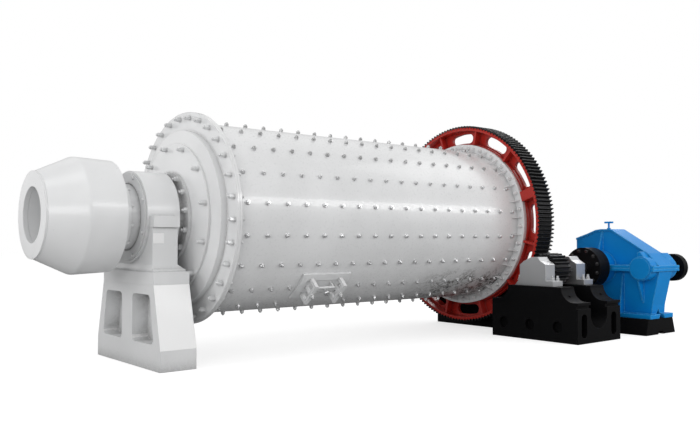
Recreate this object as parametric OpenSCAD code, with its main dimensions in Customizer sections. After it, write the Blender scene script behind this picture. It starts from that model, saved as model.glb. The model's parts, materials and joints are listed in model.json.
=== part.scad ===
// Ball mill: a horizontal grinding drum on two trunnion bearings, turned by a
// girth gear, a pinion and a reducer. Millimetres, +Z up, floor at z = 0.
// The origin is on the floor, under the middle of the feed bearing.
// +X runs along the mill axis to the discharge end, and the drive is on the -Y side.

/* [Drum] */
// Height of the mill axis above the floor
axis_height = 1550; // [1500:10:1650]
// Length of the shell between the faces of its end flanges
shell_length = 4560; // [4310:250:5060]
// Outside radius of the shell
shell_radius = 1070; // [1060:5:1080]
// Plate thickness of the shell
shell_wall = 25; // [18:1:32]
// Height of the shell and head flanges above the shell
flange_height = 110; // [95:5:120]
// Thickness of one flange
flange_thick = 28; // [24:1:34]
// Depth of a head from its hub face to the shell
head_depth = 190; // [180:5:210]

/* [Trunnions] */
// Radius of the trunnion journal
journal_radius = 350; // [340:2:360]
// Radius of the hole through the trunnion
trunnion_bore = 270; // [250:5:285]
// Radius of the neck between the journal and the hub
neck_radius = 400; // [385:5:415]
// Radius of the trunnion flange on the head
hub_radius = 505; // [490:5:520]
// Radius of the flange at the outer end of a trunnion
end_flange_radius = 420; // [410:5:440]
// Thickness of the trunnion flanges
trunnion_flange = 35; // [30:1:40]
// Distance from the feed bearing to the head
feed_hub_reach = 287; // [275:1:310]
// Distance from the discharge bearing to the head
discharge_hub_reach = 317; // [305:1:340]

/* [Main bearings] */
// Radius of the round bearing housing
housing_radius = 490; // [480:5:510]
// Length of the round bearing housing
housing_length = 360; // [340:5:370]
// Offset of the bearing housing away from the drum
housing_offset = 15; // [5:1:20]
// Width of the bearing block across the axis
block_width = 1100; // [1060:10:1140]
// Length of the bearing block along the axis
block_length = 276; // [260:2:300]
// Height from the bottom of the bearing block to the axis
block_drop = 570; // [550:5:590]
// Height of the cap ears below the axis
ear_height = 117; // [100:1:130]
// Thickness of the sole plate
sole_thick = 130; // [110:5:150]
// Thickness of the bearing end covers
cover_thick = 15; // [12:1:18]
// Clearance of a journal in its bearing
journal_gap = 0.3; // [0.2:0.05:0.4]

/* [Pedestals] */
// Width of a pedestal at the floor
foot_width = 1600; // [1500:10:1700]
// Width of a pedestal at its top
pedestal_top_width = 1280; // [1240:10:1320]
// Length of a pedestal along the axis
pedestal_length = 396; // [380:2:420]
// Height of the upright band at the foot
foot_band = 210; // [180:5:230]
// Width of the rib between the two windows
window_rib = 260; // [220:10:300]
// Thickness of the wall behind the windows
pedestal_web = 40; // [30:2:60]

/* [Drum feeder] */
// Outside radius of the feeder drum
feeder_radius = 600; // [590:5:620]
// Outside radius of the feeder drum at its back
feeder_back_radius = 582; // [570:2:590]
// Length of the straight part of the drum
feeder_straight = 380; // [350:10:400]
// Length of the conical part of the drum
feeder_cone = 370; // [340:10:400]
// Outside radius of the mouth plate
mouth_radius = 438; // [425:1:455]
// Radius of the feed opening
mouth_bore = 280; // [270:2:290]
// Plate thickness of the feeder
feeder_wall = 14; // [10:1:18]

/* [Gears] */
// Module of the girth gear and pinion
gear_module = 18; // [18:1:18]
// Height of the girth gear's pitch circle above the shell
gear_rise = 370; // [370:18:406]
// Teeth on the pinion
pinion_teeth = 22; // [20:1:24]
// Face width of the girth gear
gear_width = 320; // [300:5:330]
// Face width of the pinion
pinion_width = 340; // [335:5:345]
// Total play between the meshing teeth at the pitch line
backlash = 3; // [2.5:0.1:3.5]
// Drop of the pinion axis below the mill axis
pinion_drop = 640; // [600:10:660]
// Windows around the gear web
gear_windows = 12; // [10:1:12]

/* [Pinion drive] */
// Radius of the pinion shaft in its bearings
pinion_journal = 75; // [70:1:80]
// Half of the distance between the two pinion bearings
pinion_reach = 345; // [335:5:355]
// Offset of the pinion bearings towards the reducer
pinion_shift = 45; // [30:5:50]
// Length of a pinion bearing along the shaft
pillow_length = 200; // [190:5:210]
// Height of the pinion axis above its bearing foot
pillow_rise = 210; // [200:5:220]
// Half width of a pinion bearing body
pillow_half = 207; // [195:1:215]
// Half width of a pinion bearing foot
pillow_foot = 328; // [300:2:340]
// Radius of the drive coupling
coupling_radius = 285; // [270:5:295]
// Length of the drive coupling
coupling_length = 240; // [220:5:250]
// Distance from the gear middle to the near face of the coupling
coupling_reach = 745; // [730:5:760]

/* [Reducer] */
// Distance from the gear middle to the middle of the reducer
reducer_reach = 1405; // [1395:5:1425]
// Width of the reducer body along the shafts
case_width = 340; // [320:5:360]
// Width of the reducer over its bearing bosses
boss_width = 700; // [680:5:720]
// Distance between the output and input shafts
shaft_spacing = 700; // [690:5:710]
// Height of the upper case above the shafts
case_rise = 553; // [540:1:570]
// Half thickness of the flanges where the case splits
case_flange = 40; // [35:1:45]
// Radius of the output bearing boss
output_boss = 230; // [220:5:240]
// Radius of the input bearing boss
input_boss = 165; // [155:5:175]
// Height of the plinth under the reducer
plinth_height = 220; // [200:5:240]
// Radius of the reducer output shaft
output_radius = 85; // [80:1:90]
// Radius of the reducer input shaft
input_radius = 50; // [45:1:55]
// Radius of the input coupling
input_coupling_radius = 195; // [190:1:205]

/* [Manhole] */
// Distance from the feed end of the shell to the manhole
manhole_x = 1337; // [1087:250:1837]
// Turn of the manhole from the top towards the drive side
manhole_turn = 136; // [134:1:138]
// Length of the door along the drum
door_length = 500; // [480:5:520]
// Width of the door around the drum
door_width = 220; // [200:5:230]
// Margin of the frame plate around the door
frame_margin = 90; // [80:5:100]
// Distance between the two door clamps
clamp_spacing = 408; // [390:2:420]
// Height of the clamps above the shell
clamp_rise = 150; // [130:5:160]

/* [Hidden] */

$fn = 96;
eps = 1;

// Places along the axis
feed_hub_x = feed_hub_reach;
shell_start = feed_hub_x + head_depth;
shell_end = shell_start + shell_length;
discharge_hub_x = shell_end + head_depth;
discharge_x = discharge_hub_x + discharge_hub_reach;

// Heads, as steps inwards from the shell
flange_radius = shell_radius + flange_height;
head_plate = 95;
head_wall = 45;
head_ring = shell_radius - 100;
head_step = shell_radius - 250;
head_crease = shell_radius - 350;
head_cone = shell_radius - 170;

// Main bearings
cover_gap = 10;
outer_run = 125;
housing_outer = housing_length / 2 + housing_offset;
housing_inner = housing_length / 2 - housing_offset;
journal_inner = housing_inner + cover_thick + cover_gap;
journal_outer = housing_outer + cover_thick + outer_run;
trunnion_end = journal_outer + trunnion_flange;
block_bottom = axis_height - block_drop;
parting_z = axis_height - ear_height;
pedestal_height = block_bottom - sole_thick;
ear_length = block_length + 10;
ear_side = block_width / 2 + 42;
block_shift = -30;
block_near = block_shift - block_length / 2;
block_far = block_shift + block_length / 2;
cover_radius = housing_radius - 30;
foot_lip = 25;
foot_flare = 70;
foot_spread = 40;

// Feeder
neck_length = 65;
neck_flange = 25;
feeder_back = -trunnion_end - neck_length;
feeder_shoulder = feeder_back - feeder_straight;
feeder_front = feeder_shoulder - feeder_cone;
shoulder_round = 90;
mouth_thick = 20;
lip_length = 50;
lip_wall = 12;

// Gears
pressure = 20;
gear_teeth = 2 * round((shell_radius + gear_rise) / gear_module);
gear_pitch = gear_module * gear_teeth / 2;
gear_tip = gear_pitch + gear_module;
gear_root = gear_pitch - 1.25 * gear_module;
pinion_pitch = gear_module * pinion_teeth / 2;
pinion_tip = pinion_pitch + gear_module;
pinion_root = pinion_pitch - 1.25 * gear_module;
centre_distance = gear_pitch + pinion_pitch;
pinion_y = -sqrt(centre_distance * centre_distance - pinion_drop * pinion_drop);
pinion_z = axis_height - pinion_drop;
mesh_turn = atan2(pinion_z - axis_height, pinion_y);
gear_face = shell_end - 45;
gear_mid = gear_face + gear_width / 2;
tooth_ring = 12;
rim_thick = 18.5;
rim_outer = gear_root - tooth_ring;
rim_inner = rim_outer - rim_thick;
hub_near = shell_end + flange_thick;
web_thick = 50;
web_near = gear_mid - web_thick / 2;
web_far = gear_mid + web_thick / 2;
web_boss = 30;
web_hub = flange_radius + 15;
window_outer = rim_inner - 35;
window_inner = web_hub + 15;
window_span = 18.5;
window_turn = -2.2;
rib_half = 16;
rib_set_in = 20;
rib_low = flange_radius + 10;
rib_high = rim_inner + rim_thick / 2;
joint_turn = window_turn + 75;
joint_half = 68;
gear_bore = head_ring + 15;

// Pinion bearings and base
pinion_collar = pinion_journal + 20;
pillow_near = gear_mid + pinion_shift - pinion_reach;
pillow_far = gear_mid + pinion_shift + pinion_reach;
pillow_bottom = pinion_z - pillow_rise;
pillow_foot_thick = 70;
pillow_flare = 95;
pillow_back_edge = 66;
pillow_front_edge = 72;
pillow_cap = [[147, 109], [63, 148], [18, 168], [-85, 168], [-126, 118], [-168, 94]];
pillow_wall = 35;
shaft_end_gap = 10;
base_margin_near = 65;
base_margin_far = 5;
base_reach_front = 732;
base_clearance = 80;
base_near = pillow_near - pillow_length / 2 - base_margin_near;
base_far = pillow_far + pillow_length / 2 + base_margin_far;
base_front = pinion_y - base_reach_front;
base_back = -foot_width / 2 - base_clearance;
base_hollow = 185;
base_top_front = pinion_y - 487;
base_top_back = pinion_y + 354;
base_shoulder = pillow_bottom - base_hollow;
trough_half = pinion_width / 2 + 15;
trough_gap = 30;
trough_floor = 175;
recess_radius = 75;
recess_depth = 60;
recess_pitch = 430;
recess_z = 195;
window_half = 60;
window_low = 70;
window_high = 370;
window_depth = 90;
groove_depth = 30;
groove_high = base_shoulder - 35;
groove_low = base_shoulder - 75;

// Drive line
coupling_near = gear_mid + coupling_reach;
coupling_mid = coupling_near + coupling_length / 2;
coupling_far = coupling_near + coupling_length;
input_y = pinion_y - shaft_spacing;
input_coupling_gap = 150;
input_coupling_length = 110;
input_bolts = 8;
input_bolt_circle = 145;
input_bolt_radius = 14;

// Reducer
case_mid = gear_mid + reducer_reach;
case_near = case_mid - case_width / 2;
case_far = case_mid + case_width / 2;
boss_near = case_mid - boss_width / 2;
boss_far = case_mid + boss_width / 2;
case_back = pinion_y + 422;
case_front = input_y - 190;
flange_set_out = 7;
shaft_seat = 60;
cover_plate = 18;
foot_top = plinth_height + 60;
foot_half = boss_width / 2 - 50;
foot_front = input_y - 123;
foot_back = pinion_y + 400;
rib_thick = 22;
lip_depth = 26;
lip_out = 16;
input_coupling_near = boss_far + input_coupling_gap;
upper_outline = [[case_front, pinion_z], [case_front, pinion_z + case_flange],
  [input_y - 152, pinion_z + 80], [input_y - 25, pinion_z + 211],
  [pinion_y - 152, pinion_z + case_rise], [pinion_y + 10, pinion_z + case_rise],
  [pinion_y + 95, pinion_z + case_rise - 12], [pinion_y + 227, pinion_z + case_rise - 64],
  [case_back, pinion_z + case_rise - 129], [case_back, pinion_z]];
lower_outline = [[input_y - 60, plinth_height], [input_y - 75, foot_top + 120], [case_front, pinion_z],
  [case_back, pinion_z], [case_back - 40, foot_top + 120], [case_back - 50, plinth_height]];

// Manhole
manhole_at = shell_start + manhole_x;
frame_thick = 26;
door_gap = 4;
door_rise = 15;
stud_radius = 24;
clamp_width = 46;
clamp_bar = 35;
clamp_foot = 40;
clamp_span = door_width + 2 * clamp_foot;
handle_half = 110;
handle_rise = 85;
handle_radius = 13;
handle_set = 60;

// Helpers for rounded outlines and gear teeth
function unit(v) = v / norm(v);
function wrap(a) = a > 180 ? a - 360 : a < -180 ? a + 360 : a;
function corner_arc(a, b, c, r, n) =
  let (
    u = unit(a - b),
    w = unit(c - b),
    half = acos(u * w) / 2,
    centre = b + unit(u + w) * r / sin(half),
    s = b + u * r / tan(half) - centre,
    e = b + w * r / tan(half) - centre,
    start = atan2(s.y, s.x),
    sweep = wrap(atan2(e.y, e.x) - start)
  )
  [for (i = [0 : n]) centre + r * [cos(start + sweep * i / n), sin(start + sweep * i / n)]];
function rounded(p, r, n = 5) =
  [for (i = [0 : len(p) - 1])
    each corner_arc(p[(i + len(p) - 1) % len(p)], p[i], p[(i + 1) % len(p)], r, n)];

function flank_angle(r, base) = r <= base ? 0 : tan(acos(base / r)) * 180 / PI - acos(base / r);
function half_tooth(r, pitch, teeth) =
  let (base = pitch * cos(pressure))
  90 / teeth - backlash / 4 / pitch * 180 / PI + flank_angle(pitch, base) - flank_angle(r, base);
function polar(r, a) = [r * cos(a), r * sin(a)];
function tooth(pitch, teeth, radii, turn) =
  concat(
    [for (r = radii) polar(r, turn - half_tooth(r, pitch, teeth))],
    [for (i = [len(radii) - 1 : -1 : 0]) polar(radii[i], turn + half_tooth(radii[i], pitch, teeth))]);
function gear_outline(pitch, teeth, radii, turn) =
  [for (i = [0 : teeth - 1]) each tooth(pitch, teeth, radii, turn + i * 360 / teeth)];

// A curved slot with round ends, between two radii and over an angle
function slot_outline(inner, outer, turn, span) =
  let (
    mid = (inner + outer) / 2,
    half = (outer - inner) / 2,
    reach = span / 2 - asin(half / mid)
  )
  concat(
    [for (i = [0 : 8]) polar(outer, turn - reach + reach * i / 4)],
    [for (i = [1 : 7]) polar(mid, turn + reach) + polar(half, turn + reach + i * 22.5)],
    [for (i = [0 : 8]) polar(inner, turn + reach - reach * i / 4)],
    [for (i = [1 : 7]) polar(mid, turn - reach) + polar(half, turn - reach + 180 + i * 22.5)]);

// A solid of revolution about a line along X, from points [radius, x]
module turned(points, x = 0, y = 0, z = axis_height) {
  translate([x, y, z]) rotate([0, 90, 0]) rotate_extrude() polygon(points);
}

// A round bar or ring along X
module ring(outer, inner, x0, x1, y = 0, z = axis_height) {
  turned([[inner, x0], [outer, x0], [outer, x1], [inner, x1]], 0, y, z);
}

module bar(r, x0, x1, y = 0, z = axis_height) {
  translate([x0, y, z]) rotate([0, 90, 0]) cylinder(r = r, h = x1 - x0);
}

// A flat outline in Y and Z, drawn out along X
module prism(x0, x1) {
  translate([x0, 0, 0]) rotate([90, 0, 90]) linear_extrude(height = x1 - x0) children();
}

// A flat outline in X and Z, drawn out along Y
module side_prism(y0, y1) {
  translate([0, y1, 0]) rotate([90, 0, 0]) linear_extrude(height = y1 - y0) children();
}

module block(low, high) {
  translate(low) cube(high - low);
}

// A place on the drum, with +Z pointing outwards
module on_drum(x, turn) {
  translate([x, 0, axis_height]) rotate([turn, 0, 0]) children();
}

// The discharge end is the feed end turned about
module at_discharge() {
  translate([discharge_x, 0, 0]) mirror([1, 0, 0]) children();
}

module pedestal() {
  half = foot_width / 2;
  top = pedestal_top_width / 2;
  outline = [[-half, 0], [half, 0], [half, foot_band], [top, pedestal_height],
    [-top, pedestal_height], [-half, foot_band]];
  low = foot_band + 45;
  high = pedestal_height - 100;
  window = [[window_rib / 2, low], [half - 150, low], [top - 90, high], [window_rib / 2, high]];
  depth = (pedestal_length - pedestal_web) / 2;
  difference() {
    prism(-pedestal_length / 2, pedestal_length / 2) polygon(outline);
    for (end = [0, 1], side = [0, 1]) {
      mirror([end, 0, 0]) mirror([0, side, 0])
        prism(-pedestal_length / 2 - eps, -pedestal_length / 2 + depth) polygon(rounded(window, 60));
    }
  }
}

module sole_plate() {
  block([-pedestal_length / 2, -pedestal_top_width / 2, pedestal_height],
    [pedestal_length / 2, pedestal_top_width / 2, block_bottom]);
}

module bearing_base() {
  spread = block_length / 2 + foot_spread;
  side = block_width / 2 + foot_spread;
  flare = [[-spread, block_bottom], [spread, block_bottom], [spread, block_bottom + foot_lip],
    [block_far, block_bottom + foot_flare], [block_near, block_bottom + foot_flare],
    [-spread, block_bottom + foot_lip]];
  difference() {
    union() {
      block([block_near, -block_width / 2, block_bottom], [block_far, block_width / 2, parting_z]);
      block([-spread, -side, block_bottom], [spread, side, block_bottom + foot_lip]);
      side_prism(-block_width / 2, block_width / 2) polygon(flare);
      intersection() {
        bar(housing_radius, -housing_outer, housing_inner);
        block([-housing_length, -housing_radius, block_bottom],
          [housing_length, housing_radius, parting_z]);
      }
    }
    bar(journal_radius + journal_gap, -housing_length, housing_length);
  }
}

module bearing_cap() {
  difference() {
    union() {
      block([block_shift - ear_length / 2, -ear_side, parting_z],
        [block_shift + ear_length / 2, ear_side, axis_height]);
      intersection() {
        bar(housing_radius, -housing_outer, housing_inner);
        block([-housing_length, -housing_radius - eps, parting_z],
          [housing_length, housing_radius + eps, axis_height + housing_radius + eps]);
      }
    }
    bar(journal_radius + journal_gap, -housing_length, housing_length);
  }
}

module outer_cover() {
  ring(cover_radius, journal_radius + 8, -housing_outer - cover_thick, -housing_outer);
}

module inner_cover() {
  ring(cover_radius, journal_radius + 8, housing_inner, housing_inner + cover_thick);
}

module trunnion(hub) {
  turned([[trunnion_bore, -trunnion_end], [end_flange_radius, -trunnion_end],
    [end_flange_radius, -journal_outer], [journal_radius, -journal_outer],
    [journal_radius, journal_inner], [neck_radius, journal_inner],
    [neck_radius, hub - trunnion_flange], [hub_radius, hub - trunnion_flange],
    [hub_radius, hub], [trunnion_bore, hub]]);
}

module head(hub) {
  d = head_depth;
  turned([[trunnion_bore, 0], [hub_radius + 25, 0], [head_crease, 18], [head_step, 28],
    [head_step, 55], [head_ring, 90], [head_ring, d - flange_thick], [flange_radius, d - flange_thick],
    [flange_radius, d], [head_ring - head_wall, d], [head_cone, d - head_wall], [trunnion_bore, head_plate]],
    hub);
}

module feed_pedestal() {
  color("gainsboro") pedestal();
}

module feed_sole_plate() {
  color("gainsboro") sole_plate();
}

module feed_bearing_base() {
  color("gainsboro") bearing_base();
}

module feed_bearing_cap() {
  color("gainsboro") bearing_cap();
}

module feed_outer_cover() {
  color("gainsboro") outer_cover();
}

module feed_inner_cover() {
  color("gainsboro") inner_cover();
}

module discharge_pedestal() {
  color("dimgray") at_discharge() pedestal();
}

module discharge_sole_plate() {
  color("gainsboro") at_discharge() sole_plate();
}

module discharge_bearing_base() {
  color("gainsboro") at_discharge() bearing_base();
}

module discharge_bearing_cap() {
  color("gainsboro") at_discharge() bearing_cap();
}

module discharge_outer_cover() {
  color("gainsboro") at_discharge() outer_cover();
}

module discharge_inner_cover() {
  color("gainsboro") at_discharge() inner_cover();
}

module shell() {
  color("whitesmoke") difference() {
    ring(shell_radius, shell_radius - shell_wall, shell_start, shell_end);
    manhole_opening();
  }
}

module feed_shell_flange() {
  color("whitesmoke") ring(flange_radius, shell_radius, shell_start, shell_start + flange_thick);
}

module discharge_shell_flange() {
  color("whitesmoke") ring(flange_radius, shell_radius, shell_end - flange_thick, shell_end);
}

// A radial block at the manhole, as long and wide as asked, from inside the shell outwards
module manhole_block(length, width) {
  on_drum(manhole_at, manhole_turn)
    block([-length / 2, -width / 2, shell_radius / 2], [length / 2, width / 2, shell_radius * 1.2]);
}

module manhole_opening() {
  manhole_block(door_length, door_width);
}

module manhole_frame() {
  length = door_length + 2 * frame_margin;
  color("whitesmoke") difference() {
    intersection() {
      ring(shell_radius + frame_thick, shell_radius, manhole_at - length / 2, manhole_at + length / 2);
      manhole_block(length + 2 * eps, door_width + 2 * frame_margin);
    }
    manhole_opening();
  }
}

module manhole_door() {
  length = door_length - 2 * door_gap;
  color("whitesmoke") union() {
    intersection() {
      ring(shell_radius + door_rise, shell_radius - shell_wall,
        manhole_at - length / 2, manhole_at + length / 2);
      manhole_block(length + 2 * eps, door_width - 2 * door_gap);
    }
    on_drum(manhole_at, manhole_turn) translate([0, 0, shell_radius]) {
      for (side = [-1, 1]) {
        translate([side * clamp_spacing / 2, 0, 0])
          cylinder(r = stud_radius, h = clamp_rise - clamp_bar);
        translate([side * handle_half, handle_set, 0]) cylinder(r = handle_radius, h = handle_rise);
      }
      translate([-handle_half - handle_radius, handle_set, handle_rise]) rotate([0, 90, 0])
        cylinder(r = handle_radius, h = 2 * (handle_half + handle_radius));
    }
  }
}

module manhole_clamp(side) {
  x = side * clamp_spacing / 2 - clamp_width / 2;
  top = shell_radius + clamp_rise;
  half = clamp_span / 2;
  color("whitesmoke") difference() {
    on_drum(manhole_at, manhole_turn) union() {
      block([x, -half, top - clamp_bar], [x + clamp_width, half, top]);
      for (end = [0, 1]) {
        mirror([0, end, 0])
          block([x, half - clamp_foot, shell_radius / 2], [x + clamp_width, half, top]);
      }
    }
    bar(shell_radius + frame_thick, manhole_at - door_length, manhole_at + door_length);
  }
}

module near_manhole_clamp() {
  manhole_clamp(-1);
}

module far_manhole_clamp() {
  manhole_clamp(1);
}

module feed_head() {
  color("whitesmoke") head(feed_hub_x);
}

module discharge_head() {
  color("whitesmoke") at_discharge() head(discharge_hub_reach);
}

module feed_trunnion() {
  color("gainsboro") trunnion(feed_hub_reach);
}

module discharge_trunnion() {
  color("gainsboro") at_discharge() trunnion(discharge_hub_reach);
}

module feeder_drum() {
  t = feeder_wall;
  front = feeder_front + mouth_thick;
  outside = corner_arc([feeder_back_radius, feeder_back], [feeder_radius, feeder_shoulder],
    [mouth_radius, front], shoulder_round, 6);
  inside = [for (i = [len(outside) - 1 : -1 : 0]) outside[i] - [t, 0]];
  color("whitesmoke") turned(concat([[trunnion_bore, feeder_back], [feeder_back_radius, feeder_back]],
    outside, [[mouth_radius, front], [mouth_radius - t, front]], inside,
    [[feeder_back_radius - t, feeder_back - t], [trunnion_bore, feeder_back - t]]));
}

module feeder_mouth() {
  color("whitesmoke") turned([[mouth_bore, feeder_front], [mouth_radius, feeder_front],
    [mouth_radius, feeder_front + mouth_thick], [mouth_bore + lip_wall, feeder_front + mouth_thick],
    [mouth_bore + lip_wall, feeder_front + lip_length], [mouth_bore, feeder_front + lip_length]]);
}

module feeder_neck() {
  seat = -trunnion_end;
  color("whitesmoke") turned([[trunnion_bore, feeder_back], [journal_radius, feeder_back],
    [journal_radius, seat - neck_flange], [end_flange_radius, seat - neck_flange],
    [end_flange_radius, seat], [trunnion_bore, seat]]);
}

module girth_gear_web() {
  step = 360 / gear_windows;
  far_face = gear_face + gear_width;
  color("firebrick") difference() {
    union() {
      ring(rim_outer, rim_inner, gear_face, far_face);
      ring(rib_high, gear_bore, web_near, web_far);
      ring(web_hub, gear_bore, hub_near, web_far + web_boss);
      for (i = [0 : gear_windows - 1]) {
        on_drum(0, window_turn + (i + 0.5) * step)
          block([gear_face + rib_set_in, -rib_half, rib_low],
            [far_face - rib_set_in, rib_half, rib_high]);
      }
      for (half = [0, 180]) {
        on_drum(0, joint_turn + half)
          block([gear_face, -joint_half, rib_low], [far_face, joint_half, rib_high]);
      }
    }
    for (i = [0 : gear_windows - 1]) {
      translate([0, 0, axis_height]) prism(web_near - eps, web_far + eps)
        polygon(slot_outline(window_inner, window_outer, 90 + window_turn + i * step, window_span));
    }
  }
}

module girth_gear_teeth() {
  color("dimgray") difference() {
    translate([0, 0, axis_height]) prism(gear_face, gear_face + gear_width)
      polygon(gear_outline(gear_pitch, gear_teeth, [gear_root, gear_pitch, gear_tip],
        mesh_turn + 180 / gear_teeth));
    bar(rim_outer, gear_face - eps, gear_face + gear_width + eps, $fn = 480);
  }
}

module pinion() {
  base = pinion_pitch * cos(pressure);
  radii = [pinion_root, base, base + 6, base + 13, base + 21, pinion_tip];
  color("dimgray") difference() {
    translate([0, pinion_y, pinion_z]) prism(gear_mid - pinion_width / 2, gear_mid + pinion_width / 2)
      polygon(gear_outline(pinion_pitch, pinion_teeth, radii, mesh_turn + 180));
    bar(pinion_collar, gear_mid - pinion_width, gear_mid + pinion_width, pinion_y, pinion_z);
  }
}

module pinion_shaft() {
  r = pinion_journal;
  near = pillow_near - pillow_length / 2 + pillow_wall + shaft_end_gap;
  low = pillow_near + pillow_length / 2 + shaft_end_gap;
  high = pillow_far - pillow_length / 2 - shaft_end_gap;
  color("silver") turned([[0, near], [r, near], [r, low], [pinion_collar, low], [pinion_collar, high],
    [r, high], [r, coupling_mid - 2], [0, coupling_mid - 2]], 0, pinion_y, pinion_z);
}

// A pinion bearing: its bore starts behind a wall at the near end, or runs right through
module pillow(x, wall) {
  w = pillow_half;
  f = pillow_foot;
  floor = -pillow_rise;
  ledge = floor + pillow_foot_thick;
  outline = concat([[-f, floor], [f - 40, floor], [w, floor + pillow_flare], [w, pillow_back_edge]],
    pillow_cap, [[-w, pillow_front_edge], [-w, ledge], [-f, ledge]]);
  near = x - pillow_length / 2;
  color("silver") difference() {
    translate([0, pinion_y, pinion_z]) prism(near, x + pillow_length / 2) polygon(outline);
    bar(pinion_journal + journal_gap, near + wall, x + pillow_length, pinion_y, pinion_z);
  }
}

module near_pinion_bearing() {
  pillow(pillow_near, pillow_wall);
}

module far_pinion_bearing() {
  pillow(pillow_far, -eps);
}

module pinion_base() {
  slot_z = trough_floor + trough_half;
  color("dimgray") difference() {
    block([base_near, base_front, 0], [base_far, base_back, pillow_bottom]);
    for (side = [-1, 1]) {
      hollow_y = side < 0 ? base_top_front - base_hollow : base_top_back + base_hollow;
      end_y = side < 0 ? base_front - eps : base_back + eps;
      bar(base_hollow, base_near - eps, base_far + eps, hollow_y, pillow_bottom);
      block([base_near - eps, min(hollow_y, end_y), base_shoulder],
        [base_far + eps, max(hollow_y, end_y), pillow_bottom + eps]);
    }
    bar(gear_tip + trough_gap, gear_mid - trough_half, gear_mid + trough_half);
    block([gear_mid - trough_half, base_front - eps, slot_z],
      [gear_mid + trough_half, base_back + eps, pinion_z]);
    translate([gear_mid, base_front - eps, slot_z]) rotate([-90, 0, 0])
      cylinder(r = trough_half, h = base_back - base_front + 2 * eps);
    for (step = [-1, 0, 1]) {
      bar(recess_radius, base_near - eps, base_near + recess_depth,
        pinion_y + step * recess_pitch, recess_z);
    }
    block([base_near - eps, base_front - eps, groove_low],
      [base_far + eps, base_front + groove_depth, groove_high]);
    for (x = [(base_near + gear_mid - trough_half) / 2, (base_far + gear_mid + trough_half) / 2]) {
      side_prism(base_front - eps, base_front + window_depth)
        polygon(rounded([[x - window_half, window_low], [x + window_half, window_low],
          [x + window_half, window_high], [x - window_half, window_high]], window_half - 5));
    }
  }
}

module pinion_coupling() {
  color("dimgray") ring(coupling_radius, pinion_journal, coupling_near, coupling_mid, pinion_y, pinion_z);
}

module reducer_coupling() {
  color("dimgray") ring(coupling_radius, output_radius, coupling_mid, coupling_far, pinion_y, pinion_z);
}

module output_shaft() {
  color("silver") bar(output_radius, coupling_mid, boss_near + shaft_seat, pinion_y, pinion_z);
}

module input_shaft() {
  color("silver") bar(input_radius, boss_far - shaft_seat, input_coupling_near + input_coupling_length,
    input_y, pinion_z);
}

module input_coupling() {
  far = input_coupling_near + input_coupling_length;
  color("dimgray") difference() {
    ring(input_coupling_radius, input_radius, input_coupling_near, far, input_y, pinion_z);
    for (i = [0 : input_bolts - 1]) {
      translate([0, input_y, pinion_z]) rotate([i * 360 / input_bolts, 0, 0])
        bar(input_bolt_radius, input_coupling_near - eps, far + eps, 0, input_bolt_circle);
    }
  }
}

module reducer_plinth() {
  top = boss_width / 2 - 30;
  foot = boss_width / 2 + 40;
  notch = 65;
  notch_height = 40;
  color("dimgray") side_prism(input_y - 104, pinion_y + 420) translate([case_mid, 0])
    polygon([[-foot, 0], [-notch, 0], [-notch, notch_height], [notch, notch_height], [notch, 0],
      [foot, 0], [top, plinth_height], [-top, plinth_height]]);
}

module reducer_bores() {
  bar(output_radius + journal_gap, boss_near - eps, boss_near + shaft_seat + 2, pinion_y, pinion_z);
  bar(input_radius + journal_gap, boss_far - shaft_seat - 2, boss_far + eps, input_y, pinion_z);
}

// The bearing bosses, whole: each half of the case keeps its own side of the split
module reducer_bosses() {
  bar(output_boss, boss_near, boss_far, pinion_y, pinion_z);
  bar(input_boss, boss_near, boss_far, input_y, pinion_z);
}

module split_flange(low, high) {
  block([boss_near, case_front - flange_set_out, low], [boss_far, case_back + flange_set_out, high]);
}

// A rib on the near face of the case: its foot stands out and its tip dies into the case
module face_rib(y, foot_z, tip_z, out) {
  side_prism(y - rib_thick / 2, y + rib_thick / 2)
    polygon([[case_near + eps, foot_z], [case_near - out, foot_z],
      [case_near - 8, tip_z], [case_near + eps, tip_z]]);
}

module reducer_lower_case() {
  boss_out = case_near - boss_near;
  color("royalblue") difference() {
    union() {
      prism(case_near, case_far) polygon(lower_outline);
      block([case_mid - foot_half, foot_front, plinth_height], [case_mid + foot_half, foot_back, foot_top]);
      split_flange(pinion_z - case_flange, pinion_z);
      intersection() {
        reducer_bosses();
        block([boss_near, case_front, plinth_height], [boss_far, case_back, pinion_z]);
      }
      face_rib(pinion_y - 340, foot_top - eps, pinion_z - case_flange, boss_out - 60);
      face_rib(input_y + 60, pinion_z - 170, foot_top + 150, boss_out - 40);
    }
    reducer_bores();
    side_prism(case_front - eps, input_y - 20)
      polygon([[case_mid - 75, plinth_height - eps], [case_mid + 75, plinth_height - eps],
        [case_mid, foot_top + 70]]);
  }
}

module reducer_upper_case() {
  boss_out = case_near - boss_near;
  housing = [[input_y - 107, pinion_z], [input_y + 107, pinion_z], [input_y + 107, pinion_z + 210],
    [input_y - 30, pinion_z + 210], [input_y - 107, pinion_z + 130]];
  wedge = [[input_y - 116, pinion_z + case_flange], [input_y + 60, pinion_z + case_flange],
    [input_y + 60, pinion_z + 215], [input_y + 26, pinion_z + 234], [input_y - 116, pinion_z + 79]];
  color("royalblue") difference() {
    union() {
      prism(case_near, case_far) polygon(upper_outline);
      difference() {
        prism(case_near - lip_out, case_far + lip_out) polygon(upper_outline);
        translate([0, 0, -lip_depth]) prism(boss_near, boss_far) polygon(upper_outline);
        block([boss_near, case_front - eps, pinion_z - eps],
          [boss_far, case_back + eps, pinion_z + case_flange]);
      }
      split_flange(pinion_z, pinion_z + case_flange);
      intersection() {
        reducer_bosses();
        block([boss_near, case_front, pinion_z], [boss_far, case_back, pinion_z + case_rise]);
      }
      prism(case_near - boss_out + 30, case_near + eps) polygon(wedge);
      prism(case_far - eps, boss_far) polygon(housing);
      face_rib(pinion_y - 10, pinion_z + output_boss - 20, pinion_z + case_rise - 40, boss_out - 60);
    }
    reducer_bores();
  }
}

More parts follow.
